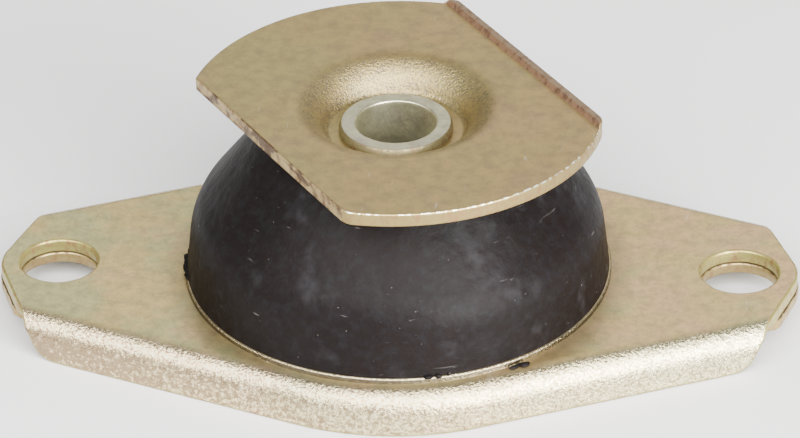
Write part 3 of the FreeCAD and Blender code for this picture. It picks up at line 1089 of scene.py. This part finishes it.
@dataclass
class NestedBase(LozengeSheet):
    """The flat sheet between the skirts."""

    ear: float = 10.05 * MM
    corner: float = 2.0 * MM
    opening: float = 22 * MM
    wander: float = 0.06 * MM
    rows: int = 14

    @property
    def sheet(self) -> float:
        """How thick the sheet is."""
        return self.highest.z - self.lowest.z

    def column(self, place: Vector, out: Vector) -> list[Vector]:
        """One closed section of the sheet, from its opening out to its edge and back below.

        Args:
            place: the point of the outline.
            out: the way that the outline faces there.

        Returns:
            The section's points.
        """
        spoke = place.normalized()
        edge = place - out * self.wander * (1 + ripple(place.to_3d(), self.wander_size, 14.0))
        outer, inner = edge - out * self.edge_round, spoke * (self.opening + self.edge_round)
        opening = edge_rows(spoke * self.opening, -spoke, self.edge_round, self.sheet)
        shares = [row / self.rows for row in range(self.rows)]
        rows = [(inner.lerp(outer, share), 0.0) for share in shares]
        rows += edge_rows(edge, out, self.edge_round, self.sheet)
        rows += [(outer.lerp(inner, share), self.sheet) for share in shares[1:]]
        rows += reversed(opening[1:])
        return [stood(flat, self.highest.z - depth) for flat, depth in rows]

    def build(self) -> bpy.types.Object:
        """Join the sheet's sections.

        Returns:
            The sheet, before its holes are punched.
        """
        quarter = self.lozenge(self.highest.y)
        quarter[1] = Corner(quarter[1].reach, quarter[1].height, self.corner)
        outline = trace(mirrored(quarter), self.spacing)
        columns = [self.column(place, out) for place, out in zip(outline, facing(outline))]
        thing = ring_mesh(self.name, columns)
        mark_rows(thing, len(columns[0]), range(self.rows, self.rows + 2 * EDGE_STEPS + 1))
        return thing

    def dress(self) -> None:
        """Plate the sheet and its cut edges, then punch its bolt holes."""
        top = self.highest.z
        # The seam paints shade where the base meets the flange above it.
        edge = ShearedEdge(
            "base_cut_edge", smooth=(0.33, 0.25, 0.10), torn=(0.28, 0.17, 0.07), seam=top
        )
        self.coat(Passivate("base_passivate", seed=40.0), edge)
        self.punch(top, self.sheet, 15.0)


@dataclass(frozen=True)
class Scrap:
    """A scrap of moulding flash: its direction in degrees, reach, size and height."""

    swing: float
    reach: float
    length: float
    width: float
    above_foot: float = 0.1 * MM


@dataclass
class RubberDome(Piece):
    """The bonded rubber: a dome over the flange's collar, with a hollow underneath."""

    wall_draft: float = 1.2 * MM
    wall_height: float = 10.6 * MM
    shoulder_radius: float = 12 * MM
    crown_radius: float = 20.6 * MM
    crown_round: float = 2.5 * MM
    floor_radius: float = 13.13 * MM
    rim_radius: float = 15.46 * MM
    collar_wall: float = 2.5 * MM
    collar_bore: float = 27 * MM
    skin: float = 1.6 * MM
    hollow_height: float = 13 * MM
    hollow_lean: float = 3.5 * MM
    hollow_round: float = 2 * MM
    mouth_round: float = 0.5 * MM
    columns: int = 240
    spacing: float = 0.7 * MM
    scrap_height: float = 0.34 * MM
    scrap_lean: float = math.radians(96)
    scrap_tatter: float = 0.45
    scrap_tatter_size: float = 0.7 * MM
    scraps: tuple[Scrap, ...] = (
        Scrap(-53.4, 37.2 * MM, 1.05 * MM, 0.62 * MM, -0.6 * MM),
        Scrap(-55.9, 36.9 * MM, 1.35 * MM, 0.34 * MM, -0.6 * MM),
        Scrap(-79.0, 35.8 * MM, 0.85 * MM, 0.45 * MM),
        Scrap(-76.4, 35.9 * MM, 0.50 * MM, 0.32 * MM),
        Scrap(-73.8, 35.7 * MM, 0.30 * MM, 0.25 * MM),
        Scrap(176.0, 35.5 * MM, 1.40 * MM, 0.42 * MM),
        Scrap(-179.0, 35.7 * MM, 1.90 * MM, 0.52 * MM),
        Scrap(-174.5, 35.8 * MM, 1.70 * MM, 0.46 * MM),
        Scrap(-170.5, 35.6 * MM, 1.40 * MM, 0.44 * MM),
    )

    def section(self) -> list[Vector]:
        """The dome's section, from the sleeve over the crown and back through the hollow.

        Returns:
            The section's points.
        """
        foot = self.highest.x
        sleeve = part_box("centre_sleeve")[1].x
        collar_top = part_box("flange_plate")[1].z
        dish_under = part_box("limit_plate")[0].z
        low, high = self.lowest.z, self.highest.z
        outer_collar = self.collar_bore + self.collar_wall
        roof = low + self.hollow_height
        inside = sleeve + self.skin
        outside = self.collar_bore - self.skin
        corners = (
            Corner(sleeve, dish_under),
            Corner(self.floor_radius, dish_under),
            Corner(self.rim_radius, high),
            Corner(self.crown_radius, high, self.crown_round),
            Corner(foot - self.wall_draft, low + self.wall_height, self.shoulder_radius),
            Corner(foot, low),
            Corner(outer_collar, low),
            Corner(outer_collar, collar_top),
            Corner(self.collar_bore, collar_top),
            Corner(self.collar_bore, low),
            Corner(outside, low, self.mouth_round),
            Corner(outside - self.hollow_lean, roof, self.hollow_round),
            Corner(inside + self.hollow_lean, roof, self.hollow_round),
            Corner(inside, low, self.mouth_round),
            Corner(sleeve, low),
        )
        return trace(corners, self.spacing)

    def build(self) -> bpy.types.Object:
        """Turn the section round the sleeve's axis.

        Returns:
            The dome.
        """
        thing = turned_mesh(self.name, self.section(), self.columns)
        self.leave_flash(thing)
        return thing

    def leave_flash(self, thing: bpy.types.Object) -> None:
        """Leave the scraps of moulding flash that hang over the rim at the dome's foot.

        Args:
            thing: the dome.
        """
        shape = bmesh.new()
        shape.from_mesh(thing.data)
        for scrap in self.scraps:
            angle = math.radians(scrap.swing)
            centre = spoke_at(angle) * scrap.reach
            centre.z = self.lowest.z + scrap.above_foot
            turn = Matrix.Rotation(angle + self.scrap_lean, 4, "Z")
            size = Matrix.Diagonal((scrap.length, scrap.width, self.scrap_height, 1))
            stand = Matrix.Translation(centre) @ turn @ size
            ball = bmesh.ops.create_icosphere(shape, subdivisions=3, radius=1.0, matrix=stand)
            for vertex in ball["verts"]:
                away = vertex.co - centre
                seed = scrap.reach / MM
                tatter = self.scrap_tatter * ripple(vertex.co, self.scrap_tatter_size, seed)
                vertex.co = centre + away * (1 + tatter)
                for face in vertex.link_faces:
                    face.smooth = True
        shape.to_mesh(thing.data)
        shape.free()

    def dress(self) -> None:
        """Mould it in black rubber."""
        self.coat(MouldedRubber("dome_rubber"))


@dataclass
class TurnedSleeve(Piece):
    """The tube that the centre bolt goes through."""

    bore_radius: float = 6.75 * MM
    chamfer: float = 0.40 * MM
    chamfer_rise: float = 0.85 * MM
    bore_round: float = 0.30 * MM
    edge_round: float = 0.15 * MM
    columns: int = 192
    spacing: float = 0.5 * MM

    def build(self) -> bpy.types.Object:
        """Turn the tube's section round its axis.

        Returns:
            The tube.
        """
        outer = self.highest.x
        corners = (
            Corner(self.bore_radius, self.lowest.z, self.bore_round),
            Corner(outer - self.chamfer, self.lowest.z, self.edge_round),
            Corner(outer, self.lowest.z + self.chamfer_rise, self.edge_round),
            Corner(outer, self.highest.z - self.chamfer_rise, self.edge_round),
            Corner(outer - self.chamfer, self.highest.z, self.edge_round),
            Corner(self.bore_radius, self.highest.z, self.bore_round),
        )
        return turned_mesh(self.name, trace(corners, self.spacing), self.columns)

    def dress(self) -> None:
        """Plate the tube, and give its outside painted shade: a darker finish on its outer faces.
        """
        for face in self.thing.data.polygons:
            face.material_index = int(face.normal.dot(face.center * Vector((1, 1, 0))) > 0.004)
        finish = Passivate(
            "sleeve_passivate",
            tan=(0.64, 0.62, 0.42),
            green=(0.52, 0.55, 0.36),
            pink=(0.52, 0.44, 0.38),
            cloud_size=8 * MM,
            # little painted glint and shade on the grain
            sparkle=0.12,
            grain_depth=0.04 * MM,
            bend_roughness=0.36,
            seed=60.0,
        )
        # The outside gets painted shade: darker colours standing for the dark dish and floor that
        # it faces.
        side = ShearedEdge("sleeve_side_painted_shade", smooth=(0.20, 0.17, 0.08), torn=(0.14, 0.10, 0.05))
        self.coat(finish, side)


class PlateFace(Enum):
    """The limit plate's finishes, by their places in its list; all else is plain."""

    PUNCHED = 1
    SHEARED = 2
    LIP = 3
    # painted shade: the dark line at the lip's inner step
    LIP_STEP = 4
    # the top round of the punched arcs: a painted glint over a burnished edge
    BURNISH_AND_GLINT = 5


@dataclass
class LimitPlate(Piece):
    """The plate on top: a disc cut along two sides, one turned up, and a dish."""

    turn: float = math.radians(33.3)
    disc_radius: float = 34.8 * MM
    sheet: float = 2.4 * MM
    plain_reach: float = 24.2 * MM
    lipped_reach: float = 26.05 * MM
    lip_height: float = 0.9 * MM
    lip_width: float = 1.75 * MM
    lip_ramp: float = 0.5 * MM
    lip_bend: float = 1.6 * MM
    plain_corners: Point = (3.5 * MM, 1.0 * MM)
    lipped_corners: Point = (3.0 * MM, 1.0 * MM)
    dish_depth: float = 5.0 * MM
    dish_floor: float = 11.6 * MM
    dish_wall: float = math.radians(65)
    dish_rim: float = 6.8 * MM
    dish_root: float = 1.3 * MM
    edge_round: float = 0.35 * MM
    tear: float = 0.16 * MM
    small_tear: float = 0.04 * MM
    tear_size: float = 1.6 * MM
    fine_tear_size: float = 0.6 * MM
    tear_share: float = 0.3
    bent_edge: Point = (0.75, 1.0)
    spacing: float = 0.6 * MM
    dish_spacing: float = 0.45 * MM
    under_spacing: float = 0.8 * MM
    corner_spacing: float = 0.25 * MM
    face_rows: int = 12
    ramp_rows: int = 4
    lip_rows: int = 3
    round_rows: int = 4
    # rows of the top round that carry the painted glint
    burnish_and_glint_rows: int = 2
    wall_rows: int = 5
    under_round_rows: int = 6
    under_rows: int = 7

    @cached_property
    def top(self) -> float:
        """Height of the plate's flat top face."""
        return self.highest.z - self.lip_height

    @property
    def lip_inside(self) -> float:
        """Where the lip starts, along the plate's own X."""
        return self.lipped_reach - self.lip_width

    def rounded_end(self, side: float, across: float, radius: float) -> tuple[Vector, Vector]:
        """Where the round between a cut side and the disc has its centre and its disc end.

        Args:
            side: where the cut side is along X, with its sign.
            across: 1 or -1, for the end towards +Y or -Y.
            radius: the corner's radius.

        Returns:
            The centre of the round, and the point where it meets the disc.
        """
        inset, reach = abs(side) - radius, self.disc_radius - radius
        centre = Vector((math.copysign(inset, side), across * math.sqrt(reach**2 - inset**2)))
        return centre, centre * (self.disc_radius / reach)

    def outline(self) -> list[tuple[Vector, Vector]]:
        """Points round the plate's edge, anticlockwise, each with its outward direction.

        Returns:
            Each point with its direction.
        """
        found: list[tuple[Vector, Vector]] = []

        def add_arc(centre: Vector, start: Vector, end: Vector, spacing: float) -> None:
            """Add points on an arc, without its last one.

            Args:
                centre: the arc's centre.
                start: its first point.
                end: its last point.
                spacing: the longest step between points.
            """
            spoke, last = start - centre, end - centre
            turn = math.atan2(spoke.cross(last), spoke.dot(last))
            steps = max(4, round(abs(turn) * spoke.length / spacing))
            for index in range(steps):
                out = Matrix.Rotation(turn * index / steps, 2) @ spoke
                found.append((centre + out, out.normalized()))

        def add_side(start: Vector, end: Vector, out: Vector) -> None:
            """Add points on a straight side, without its last one."""
            steps = round((end - start).length / self.spacing)
            found.extend((start.lerp(end, index / steps), out) for index in range(steps))

        middle = Vector((0, 0))
        corners = (
            (self.lipped_reach, -1, self.lipped_corners[0]),
            (self.lipped_reach, 1, self.lipped_corners[1]),
            (-self.plain_reach, 1, self.plain_corners[1]),
            (-self.plain_reach, -1, self.plain_corners[0]),
        )
        rounds = [self.rounded_end(*corner) for corner in corners]
        for index in (0, 2):
            side = corners[index][0]
            (first, first_disc), (second, second_disc) = rounds[index : index + 2]
            start, end = Vector((side, first.y)), Vector((side, second.y))
            add_arc(first, first_disc, start, self.corner_spacing)
            add_side(start, end, Vector((math.copysign(1, side), 0)))
            add_arc(second, end, second_disc, self.corner_spacing)
            add_arc(middle, second_disc, rounds[index - 2][1], self.spacing)
        return found

    def lip_rise(self, along: float) -> float:
        """How far the lip stands above the plate, this far along the plate's own X."""
        return self.lip_height * smooth_step((along - self.lip_inside) / self.lip_ramp)

    @cached_property
    def dish_top(self) -> list[Vector]:
        """The dish's upper face, from the sleeve out to the flat.

        Returns:
            The face's points.
        """
        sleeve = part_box("centre_sleeve")[1].x
        floor = self.top - self.dish_depth
        rim = self.dish_floor + self.dish_depth / math.tan(self.dish_wall)
        corners = (
            Corner(sleeve, floor),
            Corner(self.dish_floor, floor, self.dish_root),
            Corner(rim, self.top, self.dish_rim),
            Corner(rim + 5.2 * MM, self.top),
        )
        return trace(corners, self.dish_spacing, closed=False)

    @cached_property
    def dish_under(self) -> list[Vector]:
        """The dish's lower face, from the flat in to the sleeve.

        Returns:
            The face's points.
        """
        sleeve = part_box("centre_sleeve")[1].x
        shift = self.sheet * math.tan(self.dish_wall / 2)
        rim = self.dish_floor + self.dish_depth / math.tan(self.dish_wall) + shift
        under = self.top - self.sheet
        corners = (
            Corner(rim + 2 * MM, under),
            Corner(rim, under),
            Corner(self.dish_floor + shift, under - self.dish_depth),
            Corner(sleeve, under - self.dish_depth),
        )
        return trace(corners, self.under_spacing, closed=False)

    def upper_rows(self, inner: Vector, inset: Vector) -> list[Vector]:
        """The rows of the upper face, close together where it rises to the lip.

        Args:
            inner: where the rows start, at the dish.
            inset: where they end, short of the edge.

        Returns:
            The points of the rows.
        """
        run = inset.x - inner.x
        foot = (self.lip_inside - inner.x) / run if inset.x > self.lip_inside else 1.0
        crest = self.lip_inside + self.lip_ramp
        head = (crest - inner.x) / run if inset.x > crest else 1.0
        knots, counts = (0.0, foot, head, 1.0), (self.face_rows, self.ramp_rows, self.lip_rows)
        rows = []
        for start, end, count in zip(knots, knots[1:], counts):
            shares = (start + (end - start) * step / count for step in range(1, count + 1))
            rows.extend(inner.lerp(inset, share) for share in shares)
        return [stood(flat, self.top + self.lip_rise(flat.x)) for flat in rows]

    def edge_face(self, edge: Vector, out: Vector) -> list[Vector]:
        """The rows round the plate's edge, from its top round to its lower face.

        Args:
            edge: the point of the outline.
            out: the way that the edge faces there.

        Returns:
            The points of the rows.
        """
        upper, under = self.top + self.lip_rise(edge.x), self.top - self.sheet
        inset = edge - out * self.edge_round
        low, high = self.bent_edge
        bent = smooth_step((out.x - low) / (high - low)) if edge.x > 0 else 0.0
        lower_round = self.edge_round + (self.lip_bend - self.edge_round) * bent
        wall_top, wall_foot = upper - self.edge_round, under + lower_round
        tear = self.tear if abs(out.x) > CUT_SIDE else self.small_tear
        points = []
        for turn in quarter_turn(self.round_rows)[1:]:
            flat = inset + out * self.edge_round * math.sin(turn)
            points.append(stood(flat, upper - self.edge_round * (1 - math.cos(turn))))
        for row in range(1, self.wall_rows + 1):
            place = stood(edge, wall_top + (wall_foot - wall_top) * row / self.wall_rows)
            torn = ripple(place, self.tear_size, 52.0)
            torn += 0.5 * ripple(place, self.fine_tear_size, 53.0)
            points.append(place - out.to_3d() * tear * max(0.0, torn + self.tear_share))
        for turn in quarter_turn(self.under_round_rows)[1:]:
            flat = edge - out * lower_round * (1 - math.cos(turn))
            points.append(stood(flat, wall_foot - lower_round * math.sin(turn)))
        return points

    def column(self, edge: Vector, out: Vector) -> list[Vector]:
        """One closed section of the plate, from the dish to a point of its edge and back.

        Args:
            edge: the point of the outline.
            out: the way that the edge faces there.

        Returns:
            The section's points, in the plate's own frame.
        """
        spoke = edge.normalized()
        dish, dish_under = (
            [stood(spoke * point.x, point.y) for point in face]
            for face in (self.dish_top, self.dish_under)
        )
        face = self.upper_rows(dish[-1].to_2d(), edge - out * self.edge_round)
        rim = self.edge_face(edge, out)
        below, outer_under = rim[-1].to_2d(), dish_under[0].to_2d()
        shares = (row / (self.under_rows + 1) for row in range(1, self.under_rows + 1))
        back = [stood(below.lerp(outer_under, share), self.top - self.sheet) for share in shares]
        return [*dish, *face, *rim, *back, *dish_under]

    def build(self) -> bpy.types.Object:
        """Join the sections round the sleeve and turn the plate to its place.

        Returns:
            The plate.
        """
        turned = Matrix.Rotation(self.turn, 3, "Z")
        outline = self.outline()
        columns = [[turned @ point for point in self.column(edge, out)] for edge, out in outline]
        thing = ring_mesh(self.name, columns)
        self.mark_finishes(thing, len(columns[0]), outline)
        return thing

    def mark_finishes(
        self, thing: bpy.types.Object, rows: int, outline: Sequence[tuple[Vector, Vector]]
    ) -> None:
        """Say which faces are the plain top, a punched arc, a sheared side or the lip.

        Args:
            thing: the plate.
            rows: how many rows its sections have.
            outline: the points of its edge, with the way that each faces.
        """
        ramp = len(self.dish_top) + self.face_rows
        lip = ramp + self.ramp_rows
        rim = lip + self.lip_rows
        edge_faces = self.round_rows + self.wall_rows + self.under_round_rows - 2
        for polygon in thing.data.polygons:
            edge, out = outline[polygon.index // rows]
            row = polygon.index % rows
            lipped = edge.x > self.lip_inside
            if rim <= row < rim + edge_faces:
                finish = PlateFace.PUNCHED
                if out.x < -CUT_SIDE:
                    finish = PlateFace.SHEARED
                elif row < rim + self.burnish_and_glint_rows and not lipped:
                    finish = PlateFace.BURNISH_AND_GLINT
            elif lipped and ramp - 1 <= row < rim:
                finish = PlateFace.LIP_STEP if row < lip - 1 else PlateFace.LIP
            else:
                continue
            polygon.material_index = finish.value

    def dress(self) -> None:
        """Plate the sheet and its edges."""
        finishes = (
            Passivate(
                "plate_passivate",
                tan=(0.51, 0.37, 0.145),
                green=(0.45, 0.39, 0.15),
                pink=(0.53, 0.345, 0.17),
                # painted glints on the grain's crests, toned down for the dish
                crest=(0.32, 0.26, 0.105),
                thin=(0.25, 0.20, 0.075),
                dark=(0.15, 0.13, 0.10),
                fleck=(0.18, 0.14, 0.10),
                cloud_strength=0.55,
                bend_roughness=0.46,
                seed=80.0,
                flat_grain=0.06,
                drift=0.004,
            ),
            ShearedEdge(
                "plate_punched_edge",
                smooth=(0.215, 0.16, 0.055),
                torn=(0.20, 0.12, 0.045),
                rust_strength=0.15,
            ),
            ShearedEdge(
                "plate_sheared_side",
                smooth=(0.32, 0.235, 0.105),
                torn=(0.19, 0.12, 0.06),
                rust=(0.06, 0.03, 0.018),
                rust_strength=0.90,
                rust_size=5 * MM,
                rust_low=0.47,
                depth=0.09 * MM,
                roughness=0.42,
            ),
            ShearedEdge(
                "lip_burr",
                smooth=(0.22, 0.155, 0.095),
                torn=(0.16, 0.105, 0.065),
                rust_strength=0.5,
                depth=0.09 * MM,
                roughness=0.46,
            ),
            # The lip's step is painted dark, as painted shade at the lip's inner side, over the
            # rough brown of the burr.
            ShearedEdge(
                "lip_step",
                smooth=(0.20, 0.12, 0.07),
                torn=(0.09, 0.05, 0.03),
                rust_strength=0.6,
                depth=0.09 * MM,
                roughness=0.5,
            ),
            # Painted glint: a near-white, smooth top round on the punched arcs, broken by the tear
            # marks, over a burnished edge.
            ShearedEdge(
                "burnish_and_glint_rim",
                smooth=(0.90, 0.86, 0.68),
                torn=(0.30, 0.22, 0.09),
                rust_strength=0.0,
                tear_low=0.42,
                tear_high=0.52,
                depth=0.02 * MM,
                roughness=0.15,
            ),
        )
        self.coat(*finishes)


# ---------------------------------------------------------------- studio


@dataclass(frozen=True)
class Softbox:
    """One soft lamp: where it is, where it points, how large and how bright."""

    name: str
    place: Sequence[float]
    size: Point
    power: float
    colour: Colour = (1, 1, 1)
    aim: Sequence[float] = (0, 0, 0.02)

    def make(self) -> None:
        """Hang the lamp."""
        lamp = bpy.data.lights.new(self.name, "AREA")
        lamp.shape = "RECTANGLE"
        lamp.size, lamp.size_y = self.size
        lamp.energy = self.power
        lamp.color = self.colour
        thing = placed(self.name, lamp)
        thing.location = self.place
        way = Vector(self.aim) - Vector(self.place)
        thing.rotation_euler = way.to_track_quat("-Z", "Y").to_euler()


@dataclass
class Studio:
    """The plain floor, the soft light and the camera."""

    azimuth: float = math.radians(3.442)
    elevation: float = math.radians(31.935)
    roll: float = math.radians(-0.924)
    distance: float = 857.0 * MM
    lens: float = 230.17
    aim_height: float = 19.9 * MM
    aim_right: float = 0.453 * MM
    aim_up: float = -2.271 * MM
    floor_reach: float = 4.0

    def floor(self) -> None:
        """Lay a plain pale floor under the mount."""
        mesh = bpy.data.meshes.new("floor")
        reach = self.floor_reach
        corners = [(-reach, -reach, 0), (reach, -reach, 0), (reach, reach, 0), (-reach, reach, 0)]
        mesh.from_pydata(corners, [], [(0, 1, 2, 3)])
        thing = placed("floor", mesh)
        graph = Graph("pale_floor")
        tone = graph.mix(graph.noise(0.4, 2), (0.65, 0.65, 0.645), (0.67, 0.67, 0.665))
        graph.set(Base_Color=tone, Roughness=0.9)
        mesh.materials.append(graph.material)

    def lights(self) -> None:
        """Light it softly from above, with a fill from each side."""
        lamps = (
            Softbox("overhead", (0.0, -0.50, 0.56), (1.25, 0.58), 34.0),
            Softbox("front_right", (0.50, -0.52, 0.21), (0.40, 0.40), 22.0),
            Softbox("left", (-0.75, -0.20, 0.35), (0.40, 0.40), 1.5),
            Softbox("behind", (0.1, 1.05, 0.66), (1.3, 0.7), 3.2),
        )
        for lamp in lamps:
            lamp.make()
        world = bpy.data.worlds.new("pale_room")
        world.use_nodes = True
        backdrop = world.node_tree.nodes["Background"]
        backdrop.inputs["Color"].default_value = (1, 1, 1, 1)
        backdrop.inputs["Strength"].default_value = 0.15
        bpy.context.scene.world = world

    def camera(self) -> None:
        """Stand the camera."""
        level = math.cos(self.elevation)
        right, height = spoke_at(self.azimuth), math.sin(self.elevation)
        back = Vector((right.y * level, -right.x * level, height))
        tilt = Matrix.Rotation(self.roll, 3, back)
        right, up = tilt @ right, tilt @ back.cross(right)
        aim = Vector((0, 0, self.aim_height)) + right * self.aim_right + up * self.aim_up
        lens = bpy.data.cameras.new("camera")
        lens.lens = self.lens
        lens.sensor_width = 36.0
        lens.clip_start = 0.01
        thing = placed("camera", lens)
        stand = Matrix((right, up, back)).transposed().to_4x4()
        stand.translation = aim + back * self.distance
        thing.matrix_world = stand
        bpy.context.scene.camera = thing

    def set_up(self) -> None:
        """Put up the whole studio."""
        self.floor()
        self.lights()
        self.camera()
        log.info("studio: floor, lights and camera")


def main() -> None:
    """Build the mount piece by piece, then the studio round it."""
    logging.basicConfig(level=logging.INFO, format="%(name)s: %(message)s")
    Studio().set_up()
    pieces = (
        PressedFlange("pressed_flange", "flange_plate", Slot.FLANGE),
        NestedBase("nested_base", "base_plate", Slot.BASE),
        RubberDome("bonded_dome", "rubber_dome", Slot.RUBBER),
        TurnedSleeve("turned_sleeve", "centre_sleeve", Slot.SLEEVE),
        LimitPlate("dished_plate", "limit_plate", Slot.PLATE),
    )
    for piece in pieces:
        piece.fit()


if __name__ == "__main__":
    main()
